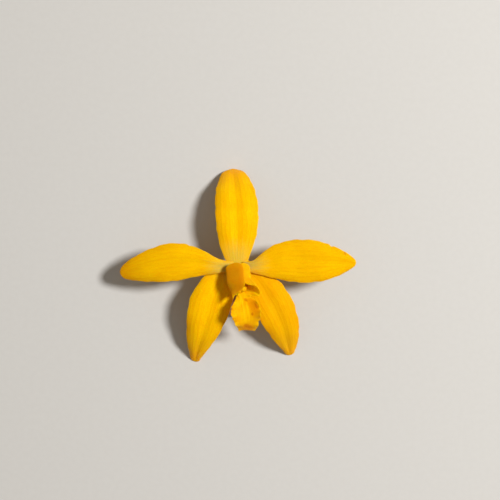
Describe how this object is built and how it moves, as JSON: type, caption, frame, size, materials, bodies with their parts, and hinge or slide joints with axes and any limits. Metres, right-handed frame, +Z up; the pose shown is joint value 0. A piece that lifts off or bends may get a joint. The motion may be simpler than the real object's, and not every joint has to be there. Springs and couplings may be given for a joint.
{
  "type": "orchid flower",
  "caption": "Cut yellow laeliocattleya orchid flower lying face up, with arching sepals, level petals and a ruffled lip rolled round the column.",
  "frame": {"origin": "on the surface that the flower lies on, under the middle of its outline seen from above", "axes": "+Z up, out of the face of the flower; +Y to the tip of its upper sepal; +X to its right petal, seen from above"},
  "size_m": [0.0652, 0.0544, 0.0188],
  "materials": {
    "sepal": "satin golden yellow petal tissue, faintly veined",
    "petal": "satin golden yellow petal tissue, faintly veined, pale at the base",
    "lip": "satin deep yellow petal tissue, orange in the folds",
    "column": "satin fleshy yellow tissue, pale at the foot",
    "anther_cap": "satin yellow cap",
    "pollen": "waxy yellow",
    "ovary": "satin pinkish tan and pale green stalk tissue"
  },
  "bodies": {
    "root": {"dorsal_sepal": "sepal", "lateral_sepal_left": "sepal", "lateral_sepal_right": "sepal", "petal_left": "petal", "petal_right": "petal", "lip": "lip", "column": "column", "anther_cap": "anther_cap", "pollinia": "pollen", "ovary_and_pedicel": "ovary"}
  },
  "joints": []
}
